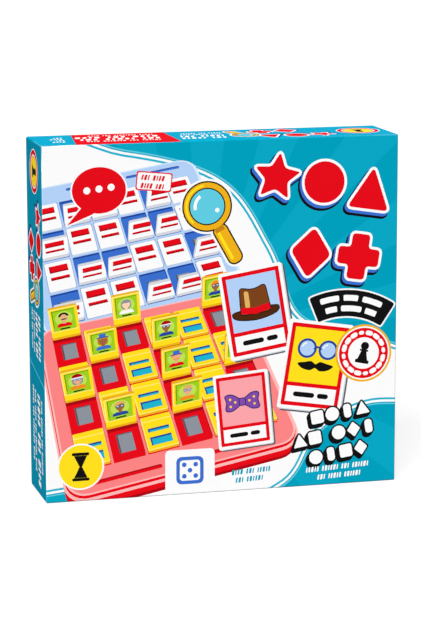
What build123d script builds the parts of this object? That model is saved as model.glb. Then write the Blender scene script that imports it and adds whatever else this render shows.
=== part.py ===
"""A face-guessing flip game in its closed cardboard box, standing on its lower edge.

A full-depth lid slips over a tray. The tray holds two moulded boards, a blue one stacked on a red
one. Each board carries a grid of flip frames that lie face down in recesses and turn up on
trunnions, and each frame holds a face card. A deck of mystery cards and the rules leaflet lie in
the hollow under the red board.

Millimetres. Every piece is drawn as the box lies when it is filled: +Z up through the lid, +Y away
from the player. save() then stands the box up, with +Z up along its height, the lid's panel facing
-Y and the origin at the bottom centre of the closed box.
"""
import os

from build123d import *

# ---- flip frame ------------------------------------------------------------------------------
frame_width = 34.0           # across the frame, without its trunnions
frame_length = 44.0          # from the hinge axis to the free end
heel_radius = 2.0            # half thickness of the frame at its hinge
sill_length = 9.0            # deep bottom bar, from the hinge axis
back_rise = 3.2              # the back face above the hinge axis when the frame lies down
front_drop = 1.4             # the window bezel's face below the hinge axis when it lies down
shoulder = 3.4               # the back face steps up to its full height here
bezel_side = 3.8             # bezel beside the face window
bezel_top = 3.0              # bezel at the free end
bezel_bottom = 1.6           # bezel between the sill and the face window
back_window_side = 5.0       # back plate left beside the two windows in the back
name_window = 5.0            # height of the narrow window in the back
view_window = 11.0           # height of the wide window in the back
back_window_end = 6.0        # back plate left at the free end
back_window_bar = 7.0        # bar between the two back windows
trunnion_radius = 1.5
trunnion_flats = 2.2         # width across the flats that let a trunnion snap in
trunnion_tilt = 50.0         # frame angle at which those flats line up with the neck
trunnion_bite = 1.2          # how far a trunnion reaches into a rib

# ---- face card in a frame --------------------------------------------------------------------
card_thickness = 0.5
card_slack = 0.15            # on each side of the card, in its pocket
pocket_wall = 1.8            # frame wall beside the pocket

# ---- board -----------------------------------------------------------------------------------
columns = 6
rows = 4
rib = 3.0                    # solid rib between two columns of recesses
row_bar = 3.4                # solid bar between two rows of recesses
frame_side_gap = 0.5
free_end_gap = 1.2
heel_gap = 0.3               # behind the heel, to the recess's rear wall
floor_gap = 0.3              # under the heel, to the recess's floor
pivot_gap = 0.2              # radial clearance of a trunnion in its channel
channel_lip = 0.3            # board above the channel's bore
channel_neck = 2.5           # width of the snap-in neck over the bore
channel_end_gap = 0.3
side_margin = 14.0           # from the outer cells to the board's edge
front_border = 32.0          # the players' side, which takes the card slots
back_margin = 15.0
board_height = 22.0
board_wall = 2.0
deck_thickness = 2.0
recess_floor = 1.6
corner_radius = 22.0
stack_step = 2.4             # the shoulder that the next board's skirt slips over
stack_depth = 4.0
rim_chamfer = 1.2
floor_window_width = 18.0
floor_window_length = 26.0
slot_width = 2.4             # the slots that a mystery card stands in
slot_end_length = 9.0
slot_end_width = 5.0
score_slot_length = 80.0
slot_inset = 13.0            # from the players' edge to the slots' centreline
score_slot_x = -66.0
card_slot_x = 34.0

# ---- mystery cards and rules -----------------------------------------------------------------
deck_count = 24
deck_card_width = 50.0
deck_card_length = 75.0
deck_card_thickness = 0.35
deck_inset = 16.1            # from the hollow's left wall to the deck
leaflet_width = 148.0
leaflet_length = 210.0
leaflet_thickness = 0.6

# ---- box -------------------------------------------------------------------------------------
wall = 1.8                   # wrapped greyboard
board_play = 2.8             # from a board's skirt to the tray's side walls
board_headroom = 5.7         # above the boards in the standing box
lid_play = 0.6               # from the tray's wall to the lid's skirt
seat_gap = 0.3               # between any two pieces that rest on each other
headspace = 15.8             # from the blue board's face to the lid
lid_foot = 1.0               # the lid stops this far short of the tray's closed side
fold_ease = 1.2              # outside folds between two walls
panel_ease = 1.0             # outside folds round the closed panel

# ---- worked out from the above ---------------------------------------------------------------
pocket_height = card_thickness + 2 * card_slack
pocket_width = frame_width - 2 * pocket_wall
pocket_length = frame_length - sill_length + bezel_bottom
trunnion_reach = frame_side_gap + trunnion_bite

channel_radius = trunnion_radius + pivot_gap
pivot_depth = channel_lip + channel_radius
recess_depth = pivot_depth + heel_radius + floor_gap
recess_width = frame_width + 2 * frame_side_gap
recess_length = frame_length + free_end_gap + heel_radius + heel_gap
column_pitch = recess_width + rib
row_pitch = recess_length + row_bar
grid_width = columns * column_pitch
grid_length = rows * row_pitch
block_depth = recess_depth + recess_floor
board_width = grid_width + 2 * side_margin
board_length = grid_length + front_border + back_margin
grid_front = -board_length / 2 + front_border
card_slot_length = deck_card_width + 4.0

tray_inside_width = board_width + 2 * board_play
tray_inside_length = board_length + board_headroom + seat_gap
tray_width = tray_inside_width + 2 * wall
tray_length = tray_inside_length + 2 * wall
lid_inside_width = tray_width + 2 * lid_play
lid_inside_length = tray_length + 2 * lid_play
lid_width = lid_inside_width + 2 * wall
lid_length = lid_inside_length + 2 * wall

red_face = wall + seat_gap + board_height
blue_face = red_face - stack_depth + seat_gap + board_height
board_shift = -tray_inside_length / 2 + seat_gap + board_length / 2
hollow_foot = board_shift - board_length / 2 + board_wall + seat_gap
deck_x = -(board_width / 2 - board_wall - stack_step) + deck_inset + deck_card_length / 2

lid_ceiling = blue_face + headspace
box_depth = lid_ceiling + wall
tray_rim = lid_ceiling - seat_gap


standing = Location((0, box_depth / 2, lid_length / 2), (90, 0, 0))


def save(piece, name):
    """Stands a finished piece up with the box, and writes it as the node of that name."""
    node = piece.moved(standing)
    node.label = name
    export_step(node, f"parts/{name}.step")


def hinge_point(column, row):
    """Middle of a frame's hinge axis on its board, whose face is at Z 0. Row 0 is the player's."""
    x = (column - (columns - 1) / 2) * column_pitch
    y = grid_front + (row + 1) * row_pitch - row_bar / 2 - heel_gap - heel_radius
    return x, y, -pivot_depth


def open_case(width, length, low, high, inside_width, inside_length, inside_low, inside_high, panel, ease):
    """A five-sided case of wrapped board; ease takes the sharpness off its folds."""
    with BuildPart() as case:
        with BuildSketch(Plane.XY.offset(low)):
            Rectangle(width, length)
        extrude(amount=high - low)
        ease(case.edges().filter_by(Axis.Z), fold_ease)
        ease(case.faces().sort_by(Axis.Z)[panel].edges(), panel_ease)
        with BuildSketch(Plane.XY.offset(inside_low)):
            Rectangle(inside_width, inside_length)
        extrude(amount=inside_high - inside_low, mode=Mode.SUBTRACT)
    return case.part


def game_board():
    """A hollow moulded board, its face at Z 0 and its middle at the origin, without its frames."""
    grid_middle = (0, grid_front + grid_length / 2)
    with BuildPart() as board:
        # skirt, and the narrower shoulder that the next board stacks over
        with BuildSketch(Plane.XY.offset(-board_height)):
            RectangleRounded(board_width, board_length, corner_radius)
        extrude(amount=board_height - stack_depth)
        with BuildSketch(Plane.XY.offset(-stack_depth)):
            RectangleRounded(board_width - 2 * stack_step, board_length - 2 * stack_step,
                             corner_radius - stack_step)
        extrude(amount=stack_depth)
        chamfer(board.faces().sort_by(Axis.Z)[-1].edges(), rim_chamfer)
        # hollow underside, stepped in under the shoulder, with a thick block left under the grid
        with BuildSketch(Plane.XY.offset(-board_height)):
            RectangleRounded(board_width - 2 * board_wall, board_length - 2 * board_wall,
                             corner_radius - board_wall)
        extrude(amount=board_height - stack_depth - deck_thickness, mode=Mode.SUBTRACT)
        inset = stack_step + board_wall
        with BuildSketch(Plane.XY.offset(-board_height)):
            RectangleRounded(board_width - 2 * inset, board_length - 2 * inset, corner_radius - inset)
        extrude(amount=board_height - deck_thickness, mode=Mode.SUBTRACT)
        with BuildSketch(Plane.XY.offset(-block_depth)):
            with Locations(grid_middle):
                Rectangle(grid_width + rib, grid_length + row_bar)
        extrude(amount=block_depth - deck_thickness / 2)
        # recesses for the frames, and a window through each floor
        with BuildSketch():
            with Locations(grid_middle):
                with GridLocations(column_pitch, row_pitch, columns, rows):
                    Rectangle(recess_width, recess_length)
        extrude(amount=-recess_depth, mode=Mode.SUBTRACT)
        with BuildSketch(Plane.XY.offset(-recess_depth)):
            with Locations(grid_middle):
                with GridLocations(column_pitch, row_pitch, columns, rows):
                    Rectangle(floor_window_width, floor_window_length)
        extrude(amount=-recess_floor, mode=Mode.SUBTRACT)
        # one hinge channel a row, bored through all its ribs, with a narrower neck to snap through
        channel_span = grid_width - rib + 2 * (trunnion_bite + channel_end_gap)
        for row in range(rows):
            _, y, z = hinge_point(0, row)
            with BuildSketch(Plane.YZ.offset(-channel_span / 2)):
                with Locations((y, z)):
                    RegularPolygon(channel_radius, 6, major_radius=False)
                with Locations((y, z + pivot_depth / 2)):
                    Rectangle(channel_neck, pivot_depth)
            extrude(amount=channel_span, mode=Mode.SUBTRACT)
        # slots in the player's border: a plain one, and one with wide ends for the mystery card
        slot_y = -board_length / 2 + slot_inset
        with BuildSketch():
            with Locations((score_slot_x, slot_y)):
                Rectangle(score_slot_length, slot_width)
            with Locations((card_slot_x, slot_y)):
                Rectangle(card_slot_length, slot_width)
            with Locations((card_slot_x - card_slot_length / 2, slot_y),
                           (card_slot_x + card_slot_length / 2, slot_y)):
                Rectangle(slot_end_length, slot_end_width)
        extrude(amount=-deck_thickness, mode=Mode.SUBTRACT)
    return board.part


def flip_frame():
    """A frame lying face down, its hinge axis along X through the origin and its free end to -Y."""
    with BuildPart() as frame:
        # side profile: an eight-sided heel round the axis, a deep sill, then the thinner window part
        facet = heel_radius * 0.4142
        with BuildSketch(Plane.YZ.offset(-frame_width / 2)):
            with BuildLine():
                Polyline(
                    (facet, -heel_radius), (heel_radius, -facet), (heel_radius, facet),
                    (facet, heel_radius), (-shoulder, heel_radius), (-shoulder, back_rise),
                    (-frame_length, back_rise), (-frame_length, -front_drop),
                    (-sill_length, -front_drop), (-sill_length, -heel_radius), close=True)
            make_face()
        extrude(amount=frame_width)
        # trunnions: six-sided, and narrower between two flats that pass the channel's neck
        reach = frame_width + 2 * trunnion_reach
        with BuildSketch(Plane.YZ.offset(-reach / 2)):
            RegularPolygon(trunnion_radius, 6, rotation=trunnion_tilt + 30)
            Rectangle(trunnion_flats, 2 * trunnion_radius, rotation=trunnion_tilt, mode=Mode.INTERSECT)
        extrude(amount=reach)
        # pocket for the card, open at the free end
        with BuildSketch(Plane.XY.offset(-pocket_height / 2)):
            with Locations((0, -frame_length + pocket_length / 2)):
                Rectangle(pocket_width, pocket_length)
        extrude(amount=pocket_height, mode=Mode.SUBTRACT)
        # face window in the front bezel
        window_length = frame_length - sill_length - bezel_bottom - bezel_top
        with BuildSketch(Plane.XY.offset(-front_drop)):
            with Locations((0, -frame_length + bezel_top + window_length / 2)):
                Rectangle(frame_width - 2 * bezel_side, window_length)
        extrude(amount=front_drop, mode=Mode.SUBTRACT)
        # two windows in the back
        window_width = frame_width - 2 * back_window_side
        view_y = -frame_length + back_window_end + view_window / 2
        name_y = view_y + view_window / 2 + back_window_bar + name_window / 2
        with BuildSketch():
            with Locations((0, view_y)):
                Rectangle(window_width, view_window)
            with Locations((0, name_y)):
                Rectangle(window_width, name_window)
        extrude(amount=back_rise, mode=Mode.SUBTRACT)
    return frame.part


def face_card():
    """The card in a frame's pocket, placed as flip_frame() is."""
    length = pocket_length - card_slack
    with BuildPart() as card:
        with BuildSketch(Plane.XY.offset(-card_thickness / 2)):
            with Locations((0, -frame_length + length / 2)):
                Rectangle(pocket_width - 2 * card_slack, length)
        extrude(amount=card_thickness)
    return card.part


os.makedirs("parts", exist_ok=True)

# ---- box -------------------------------------------------------------------------------------
save(open_case(tray_width, tray_length, 0, tray_rim,
               tray_inside_width, tray_inside_length, wall, tray_rim, 0, chamfer), "base_tray")
save(open_case(lid_width, lid_length, lid_foot, box_depth,
               lid_inside_width, lid_inside_length, lid_foot, lid_ceiling, -1, fillet), "lid")

# ---- boards, each with its flip frames and their face cards ------------------------------------
board = game_board()
frame = flip_frame()
card = face_card()
for board_name, frame_name, face in (("red_board", "yellow_frame", red_face),
                                     ("blue_board", "white_frame", blue_face)):
    seat = Location((0, board_shift, face))
    save(board.moved(seat), board_name)
    for row in range(rows):
        for column in range(columns):
            hinge = seat * Location(hinge_point(column, row))
            pair = Compound(children=[frame.moved(hinge), card.moved(hinge)])
            save(pair, f"{frame_name}_r{row + 1}c{column + 1}")

# ---- rules leaflet against the tray's panel, and the deck of mystery cards on it ----------------
leaflet_low = wall + seat_gap
with BuildPart() as leaflet:
    with BuildSketch(Plane.XY.offset(leaflet_low)):
        with Locations((0, hollow_foot + leaflet_length / 2)):
            Rectangle(leaflet_width, leaflet_length)
    extrude(amount=leaflet_thickness)
save(leaflet.part, "rules_leaflet")

deck_low = leaflet_low + leaflet_thickness + seat_gap
cards = []
for level in range(deck_count):
    with BuildPart() as mystery_card:
        with BuildSketch(Plane.XY.offset(deck_low + level * deck_card_thickness)):
            with Locations((deck_x, hollow_foot + deck_card_width / 2)):
                Rectangle(deck_card_length, deck_card_width)
        extrude(amount=deck_card_thickness)
    cards.append(mystery_card.part)
save(Compound(children=cards), "mystery_cards")

print(f"box {lid_width:.1f} wide, {lid_length:.1f} high, {box_depth:.1f} deep")
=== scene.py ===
"""Dresses a face guessing flip game: a printed cardboard box with moulded flip boards packed in it."""
import math
import random

import bmesh
import bpy
from mathutils import Matrix, Vector
from mathutils.geometry import delaunay_2d_cdt


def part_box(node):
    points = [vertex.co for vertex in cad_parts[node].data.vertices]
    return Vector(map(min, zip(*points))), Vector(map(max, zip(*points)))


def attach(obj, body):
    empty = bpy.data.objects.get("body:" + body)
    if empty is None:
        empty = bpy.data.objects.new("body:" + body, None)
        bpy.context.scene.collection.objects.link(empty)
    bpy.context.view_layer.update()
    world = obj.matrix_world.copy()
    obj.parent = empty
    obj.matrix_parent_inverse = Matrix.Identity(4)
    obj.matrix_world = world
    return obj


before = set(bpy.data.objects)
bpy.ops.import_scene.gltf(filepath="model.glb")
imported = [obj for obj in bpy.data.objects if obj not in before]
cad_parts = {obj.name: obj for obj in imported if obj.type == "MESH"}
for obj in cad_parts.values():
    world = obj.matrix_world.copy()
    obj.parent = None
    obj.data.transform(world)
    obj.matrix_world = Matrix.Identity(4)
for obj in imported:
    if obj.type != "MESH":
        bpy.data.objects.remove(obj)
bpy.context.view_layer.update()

MM = 0.001

# ---- sizes in mm, read from the frame or the same as in the CAD --------------
lid_low, lid_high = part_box("lid")
BOX_WIDTH = (lid_high.x - lid_low.x) / MM
BOX_HEIGHT = (lid_high.z - lid_low.z) / MM
LID_DEPTH = (lid_high.y - lid_low.y) / MM
WALL = 1.8                  # wrapped board, lid and tray
SIDE_FOLD = 1.2             # radius of the folds between two of the lid's side walls
PANEL_FOLD = 1.0            # radius of the folds round its panel
TURN_IN = 16.0              # wrap folded in over a rim
COLUMNS, ROWS = 6, 4        # frames on a board
COLUMN_PITCH = 38.0         # from one frame to the next, across a board
ROW_PITCH = 50.9            # and up it
HINGE_Z = 83.4              # the lowest row's hinge axes
CARD_STOCK = 0.35           # a mystery card's thickness

# ---- sizes of the prints, in mm ----------------------------------------------
EIGHTH = math.pi / 4        # of a turn: a print ends half way round a fold
SIDE_SHORT = SIDE_FOLD * (1 - EIGHTH)       # how far it falls short of the box's corner when flat
PANEL_SHORT = PANEL_FOLD * (1 - EIGHTH)
LIFT = 0.07                 # a print's face stands this far off its board or card
PAPER = 0.06                # its thickness
SLEEVE = 0.6                # a face card's print, from its front to its back
FACE_CARD = (30.2, 36.55)
FACE_DROP = 7.5             # from a frame's hinge axis to its face card's far edge
MYSTERY_CARD = (50, 75)
LEAFLET = (148, 210)
DOTS_ACROSS, DOTS_UP = 9, 12    # on a face card's back, to each pitch of the frames, so that all are alike
# the frames' colours, with their hinge axes' Y and the ink of their cards' backs
FRAMES = (("yellow", 7.9, "back_blue"), ("white", -10.4, "back_red"))

# ---- camera: angles in degrees, and its aim past the middle of the box -------
AZIMUTH = -14.406
ELEVATION = 10.727
ROLL = -0.158
ASIDE = -1.87 * MM
ALOFT = -3.516 * MM
DISTANCE = 1908.9 * MM
LENS = 144.92               # mm, on Blender's 36 mm sensor

# ---- light -------------------------------------------------------------------
WORLD_LEVEL = 0.25
LAMPS = (("key", (-0.40, -0.61, 0.69), 3.68, 35.0),     # towards it, strength, degrees across
         ("fill", (0.80, 0.59, 0.10), 3.2, 30.0))
FLOOR_GLOW = 0.75
FLOOR_SIZE = 12.0           # metres across


# ---- small node helpers ------------------------------------------------------
class Tree:
    """A world's or a material's node tree, with short ways to add and join nodes."""

    def __init__(self, holder):
        holder.use_nodes = True
        self.nodes, self.links = holder.node_tree.nodes, holder.node_tree.links

    def add(self, kind, values, **settings):
        """Adds a node; values fill its inputs by number or name, from sockets or constants."""
        node = self.nodes.new("ShaderNode" + kind)
        for key, value in settings.items():
            setattr(node, key, value)
        for key, value in values.items():
            if isinstance(value, bpy.types.NodeSocket):
                self.links.new(value, node.inputs[key])
            else:
                node.inputs[key].default_value = value
        return node

    def math(self, operation, a, b=0.0):
        return self.add("Math", {0: a, 1: b}, operation=operation).outputs[0]

    def background(self):
        """1 for a ray from the camera, off a gloss or through something clear, and 0 for any other."""
        path = self.add("LightPath", {}).outputs
        shown = self.math("MAXIMUM", path["Is Camera Ray"], path["Is Glossy Ray"])
        return self.math("MAXIMUM", shown, path["Is Transmission Ray"])


class Shader(Tree):
    """A new material, with short ways to make its patterns."""

    def __init__(self, name):
        self.material = bpy.data.materials.new(name)
        super().__init__(self.material)
        self.surface = self.nodes["Principled BSDF"]
        self.place = self.add("TexCoord", {}).outputs["Object"]

    def apart(self, a, b):
        """How far apart two values are."""
        return self.math("ABSOLUTE", self.math("SUBTRACT", a, b))

    def noise(self, scale, detail=2.0):
        made = self.add("TexNoise", {"Vector": self.place, "Scale": scale, "Detail": detail})
        return made.outputs["Fac"]

    def ramp(self, value, low, high, to_low=0.0, to_high=1.0):
        inputs = {"Value": value, "From Min": low, "From Max": high, "To Min": to_low, "To Max": to_high}
        return self.add("MapRange", inputs).outputs["Result"]

    def mix(self, share, a, b, blend_type="MIX"):
        """Colour b over colour a; the node's colour sockets are 6, 7 and, coming out, 2."""
        inputs = {"Factor": share, 6: a, 7: b}
        return self.add("Mix", inputs, data_type="RGBA", blend_type=blend_type).outputs[2]

    def axes(self):
        """The place on the object, in metres, as X, Y and Z sockets."""
        return self.add("SeparateXYZ", {0: self.place}).outputs[:3]

    def colour(self, socket):
        self.links.new(socket, self.surface.inputs["Base Color"])

    def bump(self, height, distance, strength):
        made = self.add("Bump", {"Height": height, "Distance": distance, "Strength": strength})
        self.links.new(made.outputs["Normal"], self.surface.inputs["Normal"])

    def finish(self, rough, spread, sheen, scale=80.0):
        """Roughness that drifts about a value, and a specular level."""
        drift = self.ramp(self.noise(scale), 0.0, 1.0, rough - 2.5 * spread, rough + 2.5 * spread)
        self.links.new(drift, self.surface.inputs["Roughness"])
        self.surface.inputs["Specular IOR Level"].default_value = sheen

    def paper(self, low, high, darkest, lightest):
        """A fine paper grain, as a tint about white, and the slight waves of a pasted sheet."""
        grain = self.ramp(self.noise(1500.0, 3.0), low, high, darkest, lightest)
        self.bump(self.noise(45.0), 0.25 * MM, 0.4)
        return self.add("CombineColor", {0: grain, 1: grain, 2: grain}).outputs[0]


def linear(rgb):
    """An sRGB colour, 0 to 255, as linear RGBA."""
    steps = [c / 255 for c in rgb]
    return tuple(c / 12.92 if c < 0.04045 else ((c + 0.055) / 1.055) ** 2.4 for c in steps) + (1.0,)


def added(name, data):
    """A new object in the scene."""
    made = bpy.data.objects.new(name, data)
    bpy.context.scene.collection.objects.link(made)
    return made


# ---- inks --------------------------------------------------------------------
INKS = {
    "teal": (0, 158, 187), "pale_teal": (96, 203, 224), "sky_teal": (32, 178, 206),
    # the last two teals on the next line are teal with painted light and teal with painted shade, for the
    # lid's sides
    "ray_teal": (8, 165, 194), "bright_teal": (0, 164, 200), "deep_teal": (0, 142, 174),
    "red": (228, 12, 26), "dark_red": (168, 8, 20), "rose": (250, 132, 132),
    "pale_rose": (255, 186, 184), "yellow": (255, 222, 30), "pale_yellow": (255, 240, 130),
    "gold": (238, 176, 28), "ochre": (196, 132, 24), "black": (18, 18, 20), "navy": (16, 44, 110),
    "blue": (58, 110, 205), "dark_blue": (34, 70, 156), "pale_blue": (178, 208, 246),
    "ice": (216, 233, 252), "white": (250, 250, 250), "pale_grey": (212, 216, 222),
    "grey": (140, 146, 156), "dark_grey": (84, 86, 96), "green": (158, 206, 34),
    "dark_green": (96, 150, 24), "pale_green": (190, 226, 84), "brown": (122, 66, 28),
    "dark_brown": (78, 40, 18), "tan": (226, 176, 96), "skin_a": (252, 212, 178),
    "skin_b": (232, 176, 132), "skin_c": (156, 100, 64), "pink": (250, 164, 170),
    "orange": (246, 138, 30), "violet": (130, 74, 168), "back_red": (214, 22, 34),
    "back_blue": (34, 150, 214),
}


def ink(name):
    """Printed, matt-laminated paper in one of the inks: a faint paper grain under a slightly wavy film."""
    made = bpy.data.materials.get("ink_" + name)
    if made:
        return made
    shader = Shader("ink_" + name)
    colour = linear(INKS[name])
    if name.startswith("back_"):
        x, _, z = shader.axes()
        squares = []
        for at, count, pitch in ((x, DOTS_ACROSS, COLUMN_PITCH), (z, DOTS_UP, ROW_PITCH)):
            cell = shader.math("FRACT", shader.math("MULTIPLY", at, count / (pitch * MM)))
            off = shader.math("SUBTRACT", cell, 0.5)
            squares.append(shader.math("MULTIPLY", off, off))
        reach = shader.math("ADD", *squares)
        colour = shader.mix(shader.ramp(reach, 0.028, 0.042), linear((250, 236, 214)), colour)
    shader.colour(shader.mix(1.0, colour, shader.paper(0.2, 0.8, 0.975, 1.02), "MULTIPLY"))
    shader.finish(0.8, 0.04, 0.012)
    return shader.material


# ---- flat shapes, as lists of (x, y) points in millimetres -------------------
def turned(points, angle, scale, at):
    """Points turned by an angle in degrees, scaled about the origin and moved."""
    c, s = math.cos(math.radians(angle)) * scale, math.sin(math.radians(angle)) * scale
    return [(c * x - s * y + at[0], s * x + c * y + at[1]) for x, y in points]


def arc(cx, cy, rx, ry, start, end, steps):
    """Part of an ellipse, between two angles in degrees."""
    spread = [math.radians(start + (end - start) * i / steps) for i in range(steps + 1)]
    return [(cx + rx * math.cos(a), cy + ry * math.sin(a)) for a in spread]


def ellipse(cx, cy, rx, ry=None, steps=28):
    return arc(cx, cy, rx, rx if ry is None else ry, 0, 360 - 360 / steps, steps - 1)


def rectangle(cx, cy, width, height, corner=0.0, steps=4):
    """A rectangle about its middle, with round corners where corner is given."""
    if not corner:
        w, h = width / 2, height / 2
        return [(cx - w, cy - h), (cx + w, cy - h), (cx + w, cy + h), (cx - w, cy + h)]
    w, h = width / 2 - corner, height / 2 - corner
    corners = ((w, -h, -90), (w, h, 0), (-w, h, 90), (-w, -h, 180))
    return [p for x, y, a in corners for p in arc(cx + x, cy + y, corner, corner, a, a + 90, steps)]


def capsule(x0, y0, x1, y1, width):
    """A round-ended bar from one point to another."""
    a = math.degrees(math.atan2(y1 - y0, x1 - x0))
    r = width / 2
    return arc(x1, y1, r, r, a - 90, a + 90, 6) + arc(x0, y0, r, r, a + 90, a + 270, 6)


def bow(cx, cy, inner, outer, start, end, steps=18):
    """A band bent round (cx, cy) between two radii."""
    return arc(cx, cy, outer, outer, start, end, steps) + arc(cx, cy, inner, inner, end, start, steps)


def star(cx, cy, outer, inner, points, angle):
    """A star with its first point at an angle in degrees."""
    radii = [outer if i % 2 == 0 else inner for i in range(2 * points)]
    turn = [math.radians(angle + 180 * i / points) for i in range(2 * points)]
    return [(cx + r * math.cos(a), cy + r * math.sin(a)) for r, a in zip(radii, turn)]


def smooth(points, steps=6):
    """A closed Catmull-Rom curve through a few points."""
    made = []
    n = len(points)
    for i in range(n):
        p0, p1, p2, p3 = (points[(i + k - 1) % n] for k in range(4))
        for step in range(steps):
            t = step / steps
            made.append(tuple(
                0.5 * (2 * p1[k] + (p2[k] - p0[k]) * t
                       + (2 * p0[k] - 5 * p1[k] + 4 * p2[k] - p3[k]) * t * t
                       + (3 * p1[k] - p0[k] - 3 * p2[k] + p3[k]) * t ** 3) for k in (0, 1)))
    return made


def rounded(points, radius, steps=4):
    """A polygon with its corners rounded off, by at most 0.45 of the shorter side there."""
    made = []
    n = len(points)
    for i in range(n):
        before, corner, after = (Vector(points[(i + k - 1) % n]) for k in range(3))
        to_before, to_after = before - corner, after - corner
        reach = min(radius, 0.45 * to_before.length, 0.45 * to_after.length)
        a, b = corner + to_before.normalized() * reach, corner + to_after.normalized() * reach
        for step in range(steps + 1):
            t = step / steps
            made.append(tuple(a * (1 - t) ** 2 + corner * (2 * t * (1 - t)) + b * t ** 2))
    return made


def area(points):
    """Twice the area of a polygon, negative if it runs clockwise."""
    return sum(p[0] * q[1] - q[0] * p[1] for p, q in zip(points, points[1:] + points[:1]))


def grown(points, by):
    """An outline moved outwards by a distance, or inwards if it is negative."""
    side = 1 if area(points) > 0 else -1
    made = []
    n = len(points)
    for i in range(n):
        p, q, r = (Vector(points[(i + k - 1) % n]) for k in range(3))
        if (q - p).length < 1e-6 or (r - q).length < 1e-6:
            continue
        a, b = (q - p).normalized(), (r - q).normalized()
        out = Vector((a.y + b.y, -a.x - b.x)) * side
        spread = max(out.length / 2, 0.4)
        made.append(tuple(q + out.normalized() * (by / spread)))
    return made


def cut(points, axis, limit, sign):
    """The part of a polygon on one side of a straight line across an axis."""
    made = []
    for p, q in zip(points, points[1:] + points[:1]):
        a, b = (p[axis] - limit) * sign, (q[axis] - limit) * sign
        if a >= 0:
            made.append(p)
        if a * b < 0:
            t = a / (a - b)
            made.append((p[0] + (q[0] - p[0]) * t, p[1] + (q[1] - p[1]) * t))
    return made


# ---- prints ------------------------------------------------------------------
class Print:
    """A flat print, laid up like cut paper: what is laid later covers what lies under it."""

    def __init__(self, width, height, ground, folds=(0.0, 0.0, 0.0, 0.0)):
        """folds are the radii at its left, right, bottom and top. The print ends half way round each."""
        self.width, self.height = width, height
        self.folds = folds
        self.shapes = [(ground, rectangle(width / 2, height / 2, width, height))]
        # rings of corners along which the folds bend
        for share in (1 / 3, 2 / 3, 1) if any(folds) else ():
            left, right, bottom, top = (radius * EIGHTH * share for radius in folds)
            self.shapes.append((ground, [(left, bottom), (width - right, bottom),
                                         (width - right, height - top), (left, height - top)]))

    def lay(self, colour, points):
        """Adds a shape, cut off at the sheet's edges."""
        kept = list(points)
        for axis, limit, sign in ((0, 0.0, 1), (0, self.width, -1), (1, 0.0, 1), (1, self.height, -1)):
            kept = cut(kept, axis, limit, sign)
        if len(kept) > 2:
            self.shapes.append((colour, kept if area(kept) > 0 else kept[::-1]))

    def bent(self, x, y):
        """Where a point of the flat sheet goes once its edges are folded down."""
        drop = 0.0
        placed = []
        for at, size, low, high in ((x, self.width, *self.folds[:2]), (y, self.height, *self.folds[2:])):
            for radius, past, sign in ((low, low * EIGHTH - at, -1), (high, at - size + high * EIGHTH, 1)):
                if radius and past > 0:
                    turn = past / radius
                    at += sign * ((radius + LIFT) * math.sin(turn) - past)
                    drop += (radius + LIFT) * (1 - math.cos(turn))
            placed.append(at)
        return placed[0], placed[1], -drop

    def mesh(self, name, thickness=PAPER, back=None):
        """The print as one closed sheet, cut where its colours meet, its face at height 0; back is an ink."""
        corners, faces = [], []
        for _, points in self.shapes:
            faces.append(list(range(len(corners), len(corners) + len(points))))
            corners += [Vector(p) for p in points]
        dots, _, loops, _, _, owners = delaunay_2d_cdt(corners, [], faces, 4, 1e-4, True)
        ground = self.shapes[0][0]
        colours = sorted({colour for colour, _ in self.shapes} | ({back, "white"} if back else set()))
        slots = {colour: i for i, colour in enumerate(colours)}
        sheet = bmesh.new()
        points = [sheet.verts.new(self.bent(*p)) for p in dots]
        for loop, owned in zip(loops, owners):
            if not owned:
                continue
            face = sheet.faces.new([points[i] for i in loop])
            face.material_index = slots[self.shapes[max(owned)][0]]
        rim = [e for e in sheet.edges if e.is_boundary]
        sides = bmesh.ops.extrude_edge_only(sheet, edges=rim)["geom"]
        low = [v for v in sides if isinstance(v, bmesh.types.BMVert)]
        bmesh.ops.translate(sheet, verts=low, vec=(0, 0, -thickness))
        under = [e for e in sides if isinstance(e, bmesh.types.BMEdge) and e.is_boundary]
        for face in sides:
            if isinstance(face, bmesh.types.BMFace):
                face.material_index = slots["white" if back else ground]
        for face in bmesh.ops.contextual_create(sheet, geom=under)["faces"]:
            face.material_index = slots[back or ground]
        bmesh.ops.recalc_face_normals(sheet, faces=sheet.faces[:])
        # the operators list what they add in an order that varies from run to run
        sheet.verts.index_update()
        ranked = sorted(sheet.faces, key=lambda face: sorted(v.index for v in face.verts))
        sheet.faces.sort(key={face: rank for rank, face in enumerate(ranked)}.get)
        made = bpy.data.meshes.new(name)
        sheet.to_mesh(made)
        sheet.free()
        for colour in colours:
            made.materials.append(ink(colour))
        return made


def place(mesh, name, body, corner, across, upward, slot):
    """Puts a print on the model: where its lower left corner is, in mm, and which ways its X and Y run."""
    across, upward = Vector(across), Vector(upward)
    basis = Matrix((across, upward, across.cross(upward))).transposed().to_4x4()
    mesh.transform(Matrix.Translation(Vector(corner) * MM) @ basis @ Matrix.Scale(MM, 4))
    piece = added(name, mesh)
    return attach(piece, body)


# ---- motifs ------------------------------------------------------------------
def words(sheet, colour, at, widths, height, gap):
    """A row of round-ended bars, as plain stand-ins for words."""
    x, y = at
    for width in widths:
        last = x + max(width, height * 1.01) - height / 2
        sheet.lay(colour, capsule(x + height / 2, y, last, y, height))
        x += width + gap


def strokes(sheet, colour, at, counts, height, angle=0.0):
    """A row of slanted upright bars, as plain stand-ins for letters; counts are the bars in each word."""
    x = 0.0
    for count in counts:
        for i in range(count):
            end = x + (0.32, 0.44, 0.24)[(i + count) % 3]
            bar = rounded([(x, -0.5), (end, -0.5), (end + 0.2, 0.5), (x + 0.2, 0.5)], 0.1, 1)
            sheet.lay(colour, turned(bar, angle, height, at))
            x = end + 0.22
        x += 0.5


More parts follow.
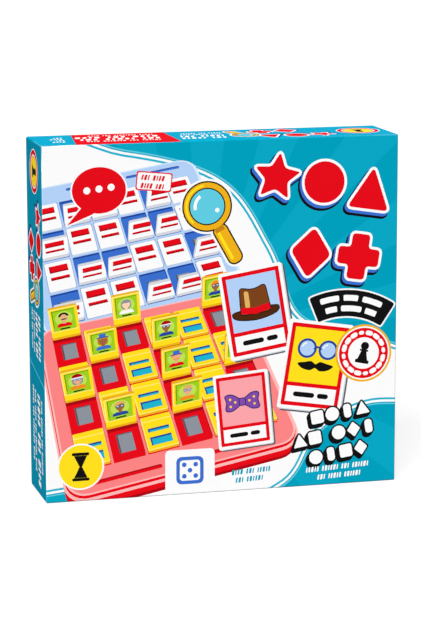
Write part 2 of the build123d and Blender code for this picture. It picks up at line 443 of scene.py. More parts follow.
def facing(turn, tilt, distance, scale, at):
    """A perspective picture of a layout: gives the print's point for a place on the layout."""
    c, s = math.cos(math.radians(turn)), math.sin(math.radians(turn))
    rise, run = math.sin(math.radians(tilt)), math.cos(math.radians(tilt))

    def point(x, y, z=0.0):
        across, away = c * x - s * y, s * x + c * y
        size = scale * distance / (distance + away * run - z * rise)
        return at[0] + across * size, at[1] + (away * rise + z * run) * size
    return point


def hull(points):
    """The convex outline round some points."""
    made = []
    for order in (sorted(set(points)), sorted(set(points), reverse=True)):
        side = []
        for p in order:
            while len(side) > 1 and ((side[-1][0] - side[-2][0]) * (p[1] - side[-2][1])
                                     - (side[-1][1] - side[-2][1]) * (p[0] - side[-2][0])) <= 0:
                side.pop()
            side.append(p)
        made += side[:-1]
    return made


HAIR = ("black", "dark_brown", "brown", "tan", "orange", "ochre", "grey")


def avatar(sheet, spot, size, kind):
    """A plain head and shoulders with no face; kind picks its hair, hat, glasses, moustache and shirt."""
    skin = ("skin_a", "skin_b", "skin_c")[kind % 3]
    hair = HAIR[(kind * 5 + kind // 3) % 7]
    shirt = ("red", "blue", "violet", "orange", "dark_blue", "white")[(kind * 7 + 2) % 6]

    def put(colour, points):
        sheet.lay(colour, [spot(x * size, y * size) for x, y in points])

    if kind % 4 == 1:
        put(hair, rectangle(0, -0.02, 0.86, 1.0, 0.36))
    put(shirt, rectangle(0, -0.98, 1.24, 0.84, 0.34))
    put(skin, rectangle(0, -0.46, 0.26, 0.34))
    put(skin, ellipse(0, 0.02, 0.34, 0.44, 20))
    tops = (bow(0, 0.06, 0.26, 0.44, 8, 172, 12), arc(0, 0.14, 0.40, 0.36, 0, 180, 12),
            smooth([(-0.42, 0.06), (-0.34, 0.42), (0, 0.56), (0.36, 0.42), (0.42, 0.06), (0.24, 0.26),
                    (-0.06, 0.22)], 3),
            star(0, 0.26, 0.42, 0.30, 7, 90))
    put(hair, tops[kind % 4])
    if kind % 5 == 0:
        put("dark_blue", rectangle(0, 0.30, 1.04, 0.10, 0.04))
        put("blue", rectangle(0, 0.50, 0.56, 0.36, 0.08))
    elif kind % 5 == 3:
        put("dark_red", arc(0, 0.20, 0.44, 0.42, 0, 180, 12))
        put("white", rectangle(0, 0.20, 0.92, 0.12, 0.05))
    if kind % 6 in (1, 2):
        for side in (-1, 1):
            put("dark_blue" if kind % 2 else "black", ellipse(side * 0.16, 0.04, 0.15, 0.13, 14))
            put("pale_blue", ellipse(side * 0.16, 0.04, 0.10, 0.085, 12))
    if kind % 6 == 4:
        put(hair, smooth([(-0.26, -0.20), (-0.08, -0.10), (0, -0.14), (0.08, -0.10), (0.26, -0.20),
                          (0, -0.24)], 3))


LEAN, RISE = 0.12, 0.99     # how far a standing frame leans and rises for each mm of its length
HALF = 17                   # half a frame's width


def board(sheet, point, inks, far_side, standing):
    """A flip board with its frames; standing gives each raised one's portrait; far_side shows its back."""
    side, side_dark, border, border_light, pit, pit_dark, plastic, light, shade, glass, glass_dark = inks
    away = -1 if far_side else 1

    def slab(more, corner, *heights):
        outline = rectangle(0, 0, 256 + more, 250 + more, corner, 6)
        return [point(*p, z) for z in heights for p in outline]

    for colour, low in ((side_dark, -24), (side, -18), (border_light, -7)):
        sheet.lay(colour, hull(slab(6, 24, low, -3)))
    sheet.lay(side, hull(slab(2, 23, -4)))
    sheet.lay(border_light, slab(0, 22, 0))
    sheet.lay(border, slab(-4, 21, 0))
    hinge, free = 21.4, -22.6
    for row in reversed(range(ROWS)):
        for column in range(COLUMNS):
            x = (column - (COLUMNS - 1) / 2) * COLUMN_PITCH
            y = (row - (ROWS - 1) / 2) * ROW_PITCH + 8.6 * away

            def flat(low, high, half, z=1.0, aside=0.0):
                return [point(x + px + aside, y + py * away, z)
                        for px, py in ((-half, low), (half, low), (half, high), (-half, high))]

            def up(px, rise, behind=0.0):
                return point(x + px, y + (hinge + LEAN * rise) * away + behind, RISE * rise)

            def panel(low, high, half, aside=0.0):
                return [up(aside + px, rise)
                        for px, rise in ((-half, low), (half, low), (half, high), (-half, high))]

            sheet.lay(pit_dark, flat(-23.7, 23.7, 17.5, 0))
            sheet.lay(pit, flat(-23.7, 18, 17.5, -4))
            sheet.lay("dark_grey", flat(-13, 13, 9, -4))
            sheet.lay("grey", flat(-13, 11.6, 8, -4, 1))
            if (row, column) in standing:
                rear = [up(px, rise, 4.6) for px in (-HALF, HALF) for rise in (1, 43)]
                sheet.lay(shade, rounded(hull(rear + panel(-2, 43, HALF)), 0.9, 2))
                sheet.lay(light, rounded(panel(-2, 44, HALF), 0.9, 2))
                sheet.lay(plastic, panel(-2, 42.6, 16.3, 0.7))
                if far_side:
                    for low, high in ((27, 38), (15, 20)):
                        sheet.lay(glass, panel(low, high, 12))
                        sheet.lay(glass_dark, panel(low, low + 2.6, 12))
                    sheet.lay(shade, panel(-2, 5, HALF))
                else:
                    sheet.lay("dark_green", panel(10.6, 41, 13.6))
                    sheet.lay("green", panel(10.6, 39.8, 13.0, 0.6))
                    sheet.lay("pale_green", [up(px, 28 + py) for px, py in ellipse(0, 0, 10.4, 10.6, 24)])
                    avatar(sheet, lambda px, py: up(px, 29.5 + py), 14.5, standing[(row, column)])
                    for colour, *span in (("green", 9.0, 16.0, 13.2), ("black", 12.0, 14.0, 6),
                                          (plastic, 0, 10.6, HALF), (light, 9.4, 10.6, 16),
                                          (shade, -2, 1.4, HALF)):
                        sheet.lay(colour, panel(*span))
            else:
                sheet.lay(shade, rounded(hull(flat(free, hinge, HALF, -3) + flat(free, hinge, HALF)), 0.9, 2))
                sheet.lay(light, rounded(flat(free, hinge + 2, HALF), 0.9, 2))
                sheet.lay(plastic, flat(free + 1.2, hinge + 2, 16.3, 1, 0.4))
                sheet.lay(light, flat(hinge - 5.4, hinge - 4.2, 16.3))
                for low, high in ((free + 6, free + 17), (free + 24, free + 29)):
                    sheet.lay(glass_dark, flat(low, high, 12))
                    sheet.lay(glass, flat(low, high - 2.4, 11.2, 1, 0.8))
    near = -112 * away
    for x, length in ((-66 * away, 80), (34 * away, 54)):
        sheet.lay(pit_dark, [point(*p) for p in rectangle(x, near, length, 5, 2.4)])
        sheet.lay(side, [point(*p) for p in rectangle(x + 0.6, near - 0.7, length - 2, 3.4, 1.6)])


# a board's sides, border, pits, frames and windows, each in its lights and shades
RED_BOARD = ("red", "dark_red", "rose", "pale_rose", "red", "dark_red", "yellow", "pale_yellow", "gold",
             "sky_teal", "dark_blue")
BLUE_BOARD = ("blue", "dark_blue", "pale_blue", "ice", "blue", "dark_blue", "white", "white", "pale_grey",
              "red", "dark_red")


def raised(sheet, shapes, fill, width, drop):
    """Title shapes that stand out: a black and a blue edge below, then a white outline, then the fill."""
    for colour, more, share in (("black", 1.0, 1.35), ("blue", 0.4, 0.8), ("white", 0.0, 0.0)):
        for points in shapes:
            outline = grown(points, width + more)
            sheet.lay(colour, [(x + drop[0] * share, y + drop[1] * share) for x, y in outline])
    for points in shapes:
        sheet.lay(fill, points)


def title_shapes(size, angle, at):
    """Five chunky play shapes in two rows."""
    shapes = [rounded(star(0, 0, 0.56, 0.27, 5, 90), 0.08), ellipse(1.12, 0.02, 0.47, 0.47, 56),
              rounded([(1.74, -0.46), (2.72, -0.46), (2.23, 0.50)], 0.13, 6),
              rounded([(0.58, -1.60), (1.06, -1.02), (1.54, -1.60), (1.06, -2.18)], 0.13, 6),
              rounded([(1.98, -1.36), (1.70, -1.36), (1.70, -1.76), (1.98, -1.76), (1.98, -2.08),
                       (2.40, -2.08), (2.40, -1.76), (2.68, -1.76), (2.68, -1.36), (2.40, -1.36),
                       (2.40, -1.04), (1.98, -1.04)], 0.09)]
    return [turned(points, angle, size, at) for points in shapes]


def magnifier(sheet, at, size, angle):
    """A gold magnifying glass with a black edge and a white outline."""
    def posed(points):
        return turned(points, angle, size, at)

    handle, ferrule = posed(rectangle(0, -1.25, 0.42, 1.30, 0.18, 5)), posed(rectangle(0, -0.66, 0.30, 0.26))
    middle = posed([(0, 0.1)])[0]
    for colour, by in (("white", 2.7), ("black", 1.1)):
        sheet.lay(colour, grown(handle, by))
        sheet.lay(colour, grown(ferrule, by))
        sheet.lay(colour, ellipse(*middle, 0.74 * size + by, steps=64))
    sheet.lay("gold", handle)
    sheet.lay("yellow", posed(rectangle(-0.09, -1.25, 0.10, 1.02, 0.05)))
    sheet.lay("ochre", ferrule)
    sheet.lay("gold", ellipse(*middle, 0.74 * size, steps=64))
    sheet.lay("yellow", posed(bow(0, 0.1, 0.62, 0.69, 70, 200)))
    sheet.lay("black", ellipse(*middle, 0.54 * size + 0.9, steps=56))
    sheet.lay("pale_teal", ellipse(*middle, 0.54 * size, steps=56))
    sheet.lay("white", posed(bow(0, 0.1, 0.33, 0.43, 95, 165)))
    sheet.lay("white", posed(ellipse(0.22, -0.16, 0.07, 0.07, 12)))


def badge(sheet, x, y, radius, mark):
    """A round red badge in a gold ring, with dots round it and a mark in the middle."""
    for colour, share in (("gold", 1.0), ("white", 0.93), ("red", 0.88)):
        sheet.lay(colour, ellipse(x, y, radius * share, steps=72))
    for i in range(16):
        a = math.radians(22.5 * i + 6)
        half, width = (0.055, 0.16) if i % 4 else (0.03025, 0.13)
        ends = [(x + radius * (0.715 * math.cos(a) + way * half * math.sin(a)),
                 y + radius * (0.715 * math.sin(a) - way * half * math.cos(a))) for way in (1, -1)]
        sheet.lay("white", capsule(*ends[0], *ends[1], radius * width))
    sheet.lay("white", ellipse(x, y, radius * 0.55, steps=56))
    for points in mark:
        sheet.lay("black", turned(points, -12, radius * 0.40, (x, y)))


PAWN = [ellipse(0, 0.62, 0.36, 0.36, 32), rectangle(0, 0.24, 0.78, 0.16, 0.07),
        [(-0.22, 0.20), (0.22, 0.20), (0.46, -0.62), (-0.46, -0.62)], rectangle(0, -0.74, 1.24, 0.30, 0.10)]


def prop_card(sheet, at, angle, width, ground, motif):
    """A white-edged card with a red frame; motif draws on it in units of its width."""
    def put(colour, points):
        sheet.lay(colour, turned(points, angle, width, at))

    for colour, *sizes in (("dark_grey", 0.045, -0.04, 1.0, 1.36, 0.04),
                           ("pale_grey", 0.02, -0.018, 1.0, 1.36, 0.03), ("white", 0, 0, 1.0, 1.36, 0.03),
                           ("red", 0, 0, 0.90, 1.26, 0.02), (ground, 0, 0.15, 0.78, 0.84),
                           ("white", 0, -0.45, 0.78, 0.24)):
        put(colour, rectangle(*sizes))
    put("black", capsule(-0.24, -0.45, 0.02, -0.45, 0.075))
    put("black", capsule(0.14, -0.45, 0.24, -0.45, 0.075))
    motif(put)


def hat_motif(put):
    brim = smooth([(-0.36, 0.02), (-0.20, 0.05), (0, 0.06), (0.20, 0.05), (0.36, 0.02), (0.30, -0.07),
                   (0, -0.12), (-0.30, -0.07)])
    put("black", grown(brim, 0.014))
    put("dark_brown", brim)
    crown = rounded([(-0.235, -0.02), (0.235, -0.02), (0.20, 0.40), (0.05, 0.35), (-0.05, 0.35),
                     (-0.20, 0.40)], 0.06)
    put("black", grown(crown, 0.014))
    put("brown", crown)
    put("tan", rounded([(-0.155, 0.08), (-0.075, 0.08), (-0.075, 0.33), (-0.145, 0.34)], 0.03))
    put("red", [(-0.235, 0.0), (0, -0.035), (0.235, 0.0), (0.226, 0.10), (0, 0.065), (-0.226, 0.10)])


def glasses_motif(put):
    for side in (-1, 1):
        put("dark_blue", ellipse(side * 0.165, 0.26, 0.150, steps=44))
        put("pale_blue", ellipse(side * 0.165, 0.26, 0.115, steps=44))
        put("white", bow(side * 0.165, 0.26, 0.07, 0.09, 100, 170, 8))
    put("dark_blue", bow(0, 0.23, 0.045, 0.075, 20, 160, 8))
    put("black", smooth([(-0.28, 0.02), (-0.17, 0.05), (-0.07, 0.07), (0, 0.03), (0.07, 0.07), (0.17, 0.05),
                         (0.28, 0.02), (0.20, -0.05), (0.08, -0.07), (0, -0.03), (-0.08, -0.07),
                         (-0.20, -0.05)]))


def tie_motif(put):
    for side in (-1, 1):
        wing = smooth([(side * 0.02, 0.17), (side * 0.18, 0.28), (side * 0.30, 0.27), (side * 0.28, 0.15),
                       (side * 0.30, 0.02), (side * 0.18, 0.01), (side * 0.02, 0.12)])
        put("navy", grown(wing, 0.018))
        put("violet", wing)
        for x, y in ((0.13, 0.15), (0.22, 0.21), (0.22, 0.08)):
            put("yellow", ellipse(side * x, y, 0.022, steps=10))
    put("navy", rectangle(0, 0.145, 0.13, 0.15, 0.04))
    put("violet", rectangle(0, 0.145, 0.10, 0.12, 0.03))


def chunky(sheet, at, size, angle, rows):
    """Slanted rows of small white play shapes with a black edge and shadow; kind 0 is a gap."""
    kinds = (rectangle(0, 0, 0.86, 0.86, 0.14), ellipse(0, 0, 0.46, steps=32),
             rounded([(-0.48, -0.42), (0.48, -0.42), (0, 0.48)], 0.10), rectangle(0, 0, 0.50, 0.92, 0.20),
             rounded([(0, -0.52), (0.46, 0), (0, 0.52), (-0.46, 0)], 0.10))
    laid = []
    for row, (x, row_kinds) in enumerate(rows):
        for kind in row_kinds:
            if kind:
                shape = [(px + x, py - 1.32 * row) for px, py in kinds[kind - 1]]
                laid.append(turned(shape, angle, size, at))
            x += 1.04 if kind else 0.6
    for share in (1.0, 0.66, 0.33, 0.0):
        for points in laid:
            sheet.lay("black", [(px - 1.8 * share, py - 2.4 * share) for px, py in grown(points, 1.2)])
    for points in laid:
        sheet.lay("white", points)


def front_print():
    size = BOX_WIDTH - 2 * PANEL_SHORT
    sheet = Print(size, size - BOX_WIDTH + BOX_HEIGHT, "teal", (PANEL_FOLD,) * 4)
    # low-contrast rays, then a white sweep with thin lines along its edge
    for start in range(3, 363, 20):
        ends = [(118 + 400 * math.cos(a), 118 + 400 * math.sin(a))
                for a in (math.radians(start), math.radians(start + 10))]
        sheet.lay("ray_teal", [(118, 118), *ends])
    sweep = smooth([(-40, 262), (60, 255), (132, 232), (168, 182), (192, 128), (250, 108), (310, 84),
                    (300, 64), (246, 64), (206, 44), (180, 6), (120, -10), (30, 10), (-40, 34)], 10)
    for colour, by in (("pale_teal", 5.2), ("teal", 4.2), ("white", 3.4), ("sky_teal", 1.6), ("white", 0.0)):
        sheet.lay(colour, grown(sweep, by))
    board(sheet, facing(13, 50, 900, 0.56, (62, 194)), BLUE_BOARD, True,
          {(3, 1): 1, (3, 2): 1, (3, 4): 1, (2, 0): 1, (2, 3): 1, (2, 4): 1, (1, 1): 1, (1, 2): 1, (1, 5): 1,
           (0, 0): 1, (0, 3): 1, (0, 4): 1})
    board(sheet, facing(13, 50, 820, 0.65, (88, 86)), RED_BOARD, False,
          {(3, 0): 4, (3, 2): 9, (3, 5): 14, (2, 1): 5, (2, 3): 8, (1, 0): 13, (1, 3): 10, (1, 5): 3,
           (0, 1): 2, (0, 3): 19})
    prop_card(sheet, (160, 136), 9, 49, "pale_blue", hat_motif)
    prop_card(sheet, (206, 92), -9, 50, "yellow", glasses_motif)
    prop_card(sheet, (150, 62), 5, 42, "pink", tie_motif)
    magnifier(sheet, (124, 214), 24, 29)
    raised(sheet, title_shapes(33, -9, (176, 236)), "red", 2.0, (-1.6, -2.2))

    # black arched banner with two rows of bars
    def banner(colour, inner, outer, start, end, corner, steps=6, by=0.0):
        outline = turned(bow(0, 0, inner, outer, start, end, steps), -6, 1.0, (228, 77))
        sheet.lay(colour, grown(rounded(outline, corner, 2), by))

    banner("white", 52, 72, 62, 118, 3.0, 18, 1.2)
    banner("black", 52, 72, 62, 118, 3.0, 18)
    for radius, spans in ((66, ((112, 99), (96, 86), (83, 69))), (58, ((110, 101), (98, 82), (79, 70)))):
        for start, end in spans:
            banner("white", radius - 2.2, radius + 2.2, end, start, 1.4)
    badge(sheet, 244, 100, 22, PAWN)
    # red speech bubble with three dots
    for colour, by in (("white", 1.1), ("red", 0.0)):
        sheet.lay(colour, grown(rounded([(30, 220), (18, 206), (38, 214)], 0.5), by))
        sheet.lay(colour, ellipse(42, 231, 20 + by, 17 + by, 64))
    for i in range(3):
        sheet.lay("white", ellipse(33 + 9 * i, 231 + i, 2.6, steps=28))
    chunky(sheet, (192, 50), 11.5, 9, ((1.4, (1, 2, 4, 3)), (0, (3, 1, 0, 2, 5, 4)), (0.9, (2, 4, 1, 5))))
    # white tab with a die on it
    sheet.lay("white", rounded([(90, -6), (128, -6), (128, 34), (90, 34)], 4))
    sheet.lay("blue", rectangle(109, 18, 21, 21, 4))
    sheet.lay("white", rectangle(109, 18, 15.6, 15.6, 2.2))
    for x, y in ((-4.4, -4.4), (4.4, -4.4), (0, 0), (-4.4, 4.4), (4.4, 4.4)):
        sheet.lay("blue", ellipse(109 + x, 18 + y, 1.8, steps=24))
    # yellow disc with an hourglass
    for colour, radius in (("white", 17.6), ("yellow", 16.4)):
        sheet.lay(colour, ellipse(26, 26, radius, steps=64))
    for side in (1, -1):
        sheet.lay("black", rectangle(26, 26 + side * 9.6, 13, 2.2, 0.9))
        sheet.lay("black", [(21, 26 + side * 8.4), (31, 26 + side * 8.4), (27, 26), (25, 26)])
    # small outlined tag, and rows of strokes on it and along the foot
    for colour, by in (("red", 0.0), ("white", -0.9)):
        sheet.lay(colour, turned(rectangle(0, 0, 27 + 2 * by, 14 + 2 * by, 1.6), -6, 1.0, (83, 236)))
    for angle, colour, *rows in ((-6, "red", (73.4, 239.6, 3, 4), (72.8, 233.6, 4, 3)),
                                 (3, "teal", (141, 13.8, 4, 3, 5), (144, 7.8, 3, 6)),
                                 (3, "white", (199, 12, 5, 6, 3, 6), (208, 6, 3, 5, 6))):
        for x, y, *counts in rows:
            strokes(sheet, colour, (x, y), counts, 4.0, angle)
    return sheet


place(front_print().mesh("front_print"), "front_print", "lid",
      (PANEL_SHORT - BOX_WIDTH / 2, lid_low.y / MM - LIFT, PANEL_SHORT), (1, 0, 0), (0, 0, 1), "lid_wrap")


# ---- prints on the lid's sides -----------------------------------------------
def strip_print(length, band):
    """One side of the lid, reading from the badge end; band adds a slanted red panel at the far end."""
    # the left and right strips are printed on a darker teal, as painted shade, and the top and bottom on a
    # lighter teal, as painted light
    sheet = Print(length - 2 * SIDE_SHORT, LID_DEPTH - PANEL_SHORT, "bright_teal" if band else "deep_teal",
                  (SIDE_FOLD, SIDE_FOLD, 0.0, PANEL_FOLD))
    middle = sheet.height / 2

    def rows(*lines):
        """Rows of strokes: where each starts, from the strip's middle, its height and its words' counts."""
        for x, y, height, *counts in lines:
            strokes(sheet, "white", (x, middle + y), counts, height)

    for colour, radius in (("white", 16.6), ("red", 15.8), ("white", 12.6), ("gold", 11.6), ("yellow", 10.4)):
        sheet.lay(colour, ellipse(22, middle, radius, steps=56))
    for points in PAWN:
        sheet.lay("black", turned(points, 0, 8.0, (22, middle + 0.6)))
    raised(sheet, title_shapes(18, 4, (54, middle + 13)), "red", 1.5, (-0.9, -1.3))
    magnifier(sheet, (111, middle + 3), 12.5, 18)
    rows((127, 13, 7.2, 3, 5), (126, 2.4, 7.2, 5, 3), (126, -7.4, 3.6, 4, 6, 4), (125, -15, 3.6, 5, 3, 6))
    top = sheet.height + 1
    if band:
        sheet.lay("red", [(166, -1), (166, top), (244, top), (236, -1)])
        rows((177, 14, 4.4, 6, 3, 7, 4), (175, 3.4, 8.8, 3, 5, 3), (174, -8.6, 8.8, 4, 3, 4),
             (176, -19, 4.0, 5, 8, 3, 4),
             (248, 12, 4.4, 4), (247, 4, 4.4, 3), (247, -4, 4.4, 4), (246, -12, 4.4, 3))
    else:
        sheet.lay("pale_teal", [(166, -1), (167, -1), (179, top), (178, top)])
        rows((190, 17, 4.4, 4, 6, 3, 7), (187, 6, 9.4, 5, 3, 4), (186, -7, 4.4, 4, 5, 3, 6, 4),
             (184, -15, 4.4, 6, 3, 8, 4))
    return sheet


left, right = lid_low.x / MM - LIFT, lid_high.x / MM + LIFT
rim = lid_high.y / MM
for name, length, corner, across in (
        ("left_print", BOX_HEIGHT, (left, rim, BOX_HEIGHT - SIDE_SHORT), (0, 0, -1)),
        ("right_print", BOX_HEIGHT, (right, rim, SIDE_SHORT), (0, 0, 1)),
        ("top_print", BOX_WIDTH, (BOX_WIDTH / 2 - SIDE_SHORT, rim, BOX_HEIGHT + LIFT), (-1, 0, 0)),
        ("bottom_print", BOX_WIDTH, (SIDE_SHORT - BOX_WIDTH / 2, rim, -LIFT), (1, 0, 0))):
    sheet = strip_print(length, length == BOX_WIDTH)
    place(sheet.mesh(name), name, "lid", corner, across, (0, -1, 0), "lid_wrap")


# ---- cards and leaflet -------------------------------------------------------
def face_print(kind):
    """A face card's front: a faceless portrait on green, over a bar for its name."""
    sheet = Print(*FACE_CARD, "green")
    middle = FACE_CARD[0] / 2
    sheet.lay("pale_green", ellipse(middle, 21.5, 12.4, 13.4))
    avatar(sheet, lambda x, y: (middle + x, 21.4 + y), 11.2, kind)
    sheet.lay("green", rectangle(middle, 3.9, FACE_CARD[0], 7.8))
    words(sheet, "black", (middle - 5 - kind % 3, 5.4), (5 + kind % 4, 4 + kind % 3), 1.9, 1.0)
    return sheet


for colour, hinge_y, back in FRAMES:
    for row in range(ROWS):
        for column in range(COLUMNS):
            node = f"{colour}_frame_r{row + 1}c{column + 1}"
            name = node.replace("frame", "face_card")
            mesh = face_print(row * COLUMNS + column).mesh(name, SLEEVE, back)
            corner = ((column - (COLUMNS - 1) / 2) * COLUMN_PITCH - FACE_CARD[0] / 2, hinge_y + SLEEVE / 2,
                      HINGE_Z + row * ROW_PITCH - FACE_DROP)
            place(mesh, name, node, corner, (1, 0, 0), (0, 0, -1), "card_stock")


def mystery_print():
    """A mystery card's face: a faceless portrait in a red frame, over bars for a name."""
    sheet = Print(*MYSTERY_CARD, "white")
    sheet.lay("red", rectangle(25, 37.5, 45, 70, 1.2))
    sheet.lay("white", rectangle(25, 43, 39, 52))
    sheet.lay("white", rectangle(25, 11.4, 39, 11))
    sheet.lay("pale_blue", ellipse(25, 45.5, 17.5, steps=56))
    avatar(sheet, lambda x, y: (25 + x, 43 + y), 19, 13)
    sheet.lay("red", rectangle(25, 17.0, 45, 2.6))
    words(sheet, "black", (12, 11.4), (9, 14), 3.4, 2.0)
    return sheet


def deck_back_print():
    """A mystery card's back: rows of small stars on blue."""
    sheet = Print(*MYSTERY_CARD, "white")
    sheet.lay("blue", rectangle(25, 37.5, 45, 70, 1.2))
    for row in range(6):
        for column in range(4):
            points = star(8.5 + 11 * column, 8 + 11.8 * row, 3.4, 1.7, 4, 45 * (row % 2))
            sheet.lay("pale_blue" if (row + column) % 2 else "yellow", points)
    return sheet


def leaflet_print():
    """The rules: a headed page of bars for words, with a picture of each board."""
    sheet = Print(*LEAFLET, "white")
    sheet.lay("teal", rectangle(74, 192, 148, 36))
    words(sheet, "white", (14, 196), (34, 22, 40), 8, 4)
    words(sheet, "pale_teal", (14, 183), (22, 30, 16), 3.4, 2.4)
    rng = random.Random(7)
    for x, top, lines in ((12, 158, 7), (12, 122, 6), (80, 104, 6), (12, 44, 9), (80, 66, 6), (80, 34, 6)):
        words(sheet, "red", (x, top + 6), (14, 18), 2.6, 2.0)
        for line in range(lines):
            at, spans = 0.0, []
            while at < 56 * (0.55 if line == lines - 1 else 0.93):
                spans.append(rng.uniform(3.0, 10.0))
                at += spans[-1] + 1.4
            words(sheet, "grey", (x, top - 3.5 * line), spans, 1.5, 1.4)
    standing = {(3, 1): 4, (2, 3): 7, (1, 0): 12, (0, 4): 3}
    board(sheet, facing(-8, 52, 900, 0.21, (108, 141)), RED_BOARD, False, standing)
    board(sheet, facing(10, 52, 900, 0.20, (40, 81)), BLUE_BOARD, True, standing)
    return sheet


deck_low, deck_high = (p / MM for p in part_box("mystery_cards"))
leaf_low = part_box("rules_leaflet")[0] / MM
for name, sheet, body, corner, across, upward, slot in (
        ("mystery_card_print", mystery_print(), "mystery_cards",
         (deck_high.x, deck_low.y - LIFT, deck_low.z), (0, 0, 1), (-1, 0, 0), "card_stock"),
        ("mystery_back_print", deck_back_print(), "mystery_cards",
         (deck_low.x, deck_high.y + LIFT, deck_low.z), (0, 0, 1), (1, 0, 0), "card_stock"),
        ("leaflet_print", leaflet_print(), "rules_leaflet",
         (leaf_low.x, leaf_low.y - LIFT, leaf_low.z), (1, 0, 0), (0, 0, 1), "leaflet_paper")):
    place(sheet.mesh(name), name, body, corner, across, upward, slot)


# ---- materials of the CAD nodes ----------------------------------------------
def dress(node, material):
    """Gives a CAD node a material."""
    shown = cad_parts[node]
    if not shown.material_slots:
        shown.data.materials.append(None)
    for held in shown.material_slots:
        held.link = "OBJECT"
        held.material = material


def case_paper(node, panel_y, rim_y, outside, lining, rough):
    """Wrapped board: printed paper outside, turned in over the rim, and a plain lining further in."""
    low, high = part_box(node)
    shader = Shader(node + "_paper")
    x, y, z = shader.axes()
    from_side = shader.math("SUBTRACT", high.x, shader.math("ABSOLUTE", x))
    from_panel = shader.apart(y, panel_y)
    from_end = shader.math("SUBTRACT", (high.z - low.z) / 2, shader.apart(z, (high.z + low.z) / 2))
    # the nearest of the box's outer faces, and the next nearest: both are near along a fold
    nearer = shader.math("MINIMUM", from_side, from_panel)
    farther = shader.math("MAXIMUM", from_side, from_panel)
    skin = shader.math("MINIMUM", nearer, from_end)
    fold = shader.math("MAXIMUM", nearer, shader.math("MINIMUM", farther, from_end))
    inside = shader.math("GREATER_THAN", skin, (WALL - 0.1) * MM)
    deep = shader.math("GREATER_THAN", shader.apart(y, rim_y), TURN_IN * MM)
    lined = shader.math("MULTIPLY", inside, deep)
    # the print turns paler in patches along the folds: partly a rub, partly a painted highlight
    rub_and_highlight = shader.math("MULTIPLY", shader.ramp(fold, 0.2 * MM, 1.5 * MM, 0.14, 0.0),
                         shader.ramp(shader.noise(130.0, 4.0), 0.35, 0.6, 0.45, 1.0))
    printed = shader.mix(rub_and_highlight, linear(outside), linear((226, 240, 244)))
    shader.colour(shader.mix(1.0, shader.mix(lined, printed, linear(lining)),
                             shader.paper(0.3, 0.7, 0.955, 1.03), "MULTIPLY"))
    shader.finish(rough, 0.06, 0.1)
    dress(node, shader.material)


def moulded(name, colour, shade):
    """Moulded plastic: an even colour with faint flow marks, and a finely eroded satin surface."""
    shader = Shader(name)
    flow = shader.ramp(shader.noise(9.0, 1.0), 0.0, 1.0)
    shader.colour(shader.mix(flow, linear(colour), linear(shade)))
    shader.finish(0.37, 0.03, 0.3, 60.0)
    shader.bump(shader.noise(2200.0), 0.03 * MM, 0.7)
    return shader.material


def stacked_card():
    """A squared deck of white card, with a thin shadow between each card and the next."""
    shader = Shader("stacked_card")
    depth = shader.math("SUBTRACT", shader.axes()[1], deck_low.y * MM)
    step = shader.math("FRACT", shader.math("MULTIPLY", depth, 1 / (CARD_STOCK * MM)))
    seam = shader.ramp(shader.apart(step, 0.5), 0.36, 0.47)
    fibre = shader.ramp(shader.noise(900.0, 3.0), 0.3, 0.7)
    card = shader.mix(fibre, linear((240, 239, 233)), linear((229, 227, 219)))
    shader.colour(shader.mix(seam, card, linear((150, 148, 142))))
    shader.finish(0.6, 0.05, 0.1)
    shader.bump(shader.math("SUBTRACT", 1.0, seam), 0.05 * MM, 0.6)
    return shader.material


def plain_paper():
    """Uncoated white paper with a faint fibre and one crease across its middle."""
    low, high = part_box("rules_leaflet")
    shader = Shader("leaflet_paper")
    fibre = shader.noise(700.0, 4.0)
    shader.colour(shader.mix(shader.ramp(fibre, 0.3, 0.7), linear((246, 246, 242)), linear((236, 236, 231))))
    shader.finish(0.7, 0.05, 0.1)
    crease = shader.ramp(shader.apart(shader.axes()[2], (low.z + high.z) / 2), 0.0, 0.8 * MM)
    shader.bump(shader.math("ADD", crease, shader.math("MULTIPLY", fibre, 0.2)), 0.15 * MM, 0.6)
    return shader.material


tray_low, tray_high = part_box("base_tray")
case_paper("lid", lid_low.y, lid_high.y, INKS["teal"], (238, 238, 232), 0.72)
case_paper("base_tray", tray_high.y, tray_low.y, (238, 238, 232), (222, 221, 214), 0.75)
dress("red_board", moulded("red_plastic", (222, 22, 30), (214, 16, 24)))
dress("blue_board", moulded("blue_plastic", (48, 100, 200), (42, 92, 190)))
yellow_plastic = moulded("yellow_plastic", (255, 218, 28), (250, 208, 20))
white_plastic = moulded("white_plastic", (240, 240, 238), (234, 234, 230))
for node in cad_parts:
    if node.startswith("yellow_frame"):
        dress(node, yellow_plastic)
    elif node.startswith("white_frame"):
        dress(node, white_plastic)
dress("mystery_cards", stacked_card())
dress("rules_leaflet", plain_paper())


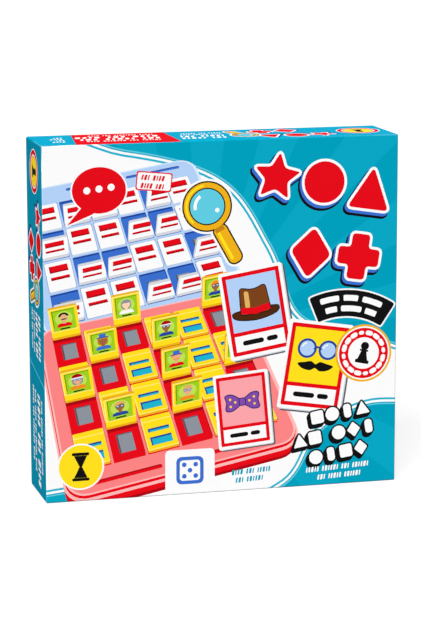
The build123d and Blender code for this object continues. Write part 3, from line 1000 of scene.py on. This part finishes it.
# ---- stage -------------------------------------------------------------------
def floor():
    """A pale floor, which glows near white where it is background and keeps the shadows."""
    shader = Shader("pale_floor")
    for socket, value in (("Base Color", linear((150, 150, 150))), ("Roughness", 0.9),
                          ("Specular IOR Level", 0.0)):
        shader.surface.inputs[socket].default_value = value
    strength = shader.math("MULTIPLY", shader.background(), FLOOR_GLOW)
    glow = shader.add("Emission", {"Color": (1, 1, 1, 1), "Strength": strength})
    both = shader.add("AddShader", {0: shader.surface.outputs[0], 1: glow.outputs[0]})
    shader.links.new(both.outputs[0], shader.nodes["Material Output"].inputs["Surface"])
    sheet = bmesh.new()
    outline = rectangle(0, 0, FLOOR_SIZE, FLOOR_SIZE, FLOOR_SIZE / 2, 16)
    sheet.faces.new([sheet.verts.new((x, y, -(LIFT + 0.01) * MM)) for x, y in outline])
    mesh = bpy.data.meshes.new("floor")
    sheet.to_mesh(mesh)
    sheet.free()
    mesh.materials.append(shader.material)
    added("floor", mesh)


def studio():
    """A dim world that shows as white where it is background, and two soft lamps."""
    world = bpy.data.worlds.new("studio")
    bpy.context.scene.world = world
    tree = Tree(world)
    glow = tree.nodes["Background"].inputs
    glow["Color"].default_value = (1, 1, 1, 1)
    tree.links.new(tree.math("MAXIMUM", tree.background(), WORLD_LEVEL), glow["Strength"])
    for name, towards, strength, across in LAMPS:
        lamp = bpy.data.lights.new(name, "SUN")
        lamp.energy = strength
        lamp.angle = math.radians(across)
        added(name, lamp).rotation_euler = Vector(towards).to_track_quat("Z", "Y").to_euler()


def camera():
    """The photograph's viewpoint, round the middle of the box."""
    azimuth, elevation, roll = (math.radians(a) for a in (AZIMUTH, ELEVATION, ROLL))
    turn = (Matrix.Rotation(azimuth, 4, "Z") @ Matrix.Rotation(math.pi / 2 - elevation, 4, "X")
            @ Matrix.Rotation(roll, 4, "Z"))
    data = bpy.data.cameras.new("camera")
    data.lens = LENS
    data.clip_end = 50.0
    made = added("camera", data)
    made.matrix_world = (Matrix.Translation((0, 0, BOX_HEIGHT * MM / 2)) @ turn
                         @ Matrix.Translation((ASIDE, ALOFT, DISTANCE)))
    bpy.context.scene.camera = made


floor()
studio()
camera()
bpy.context.scene.view_settings.view_transform = "Standard"
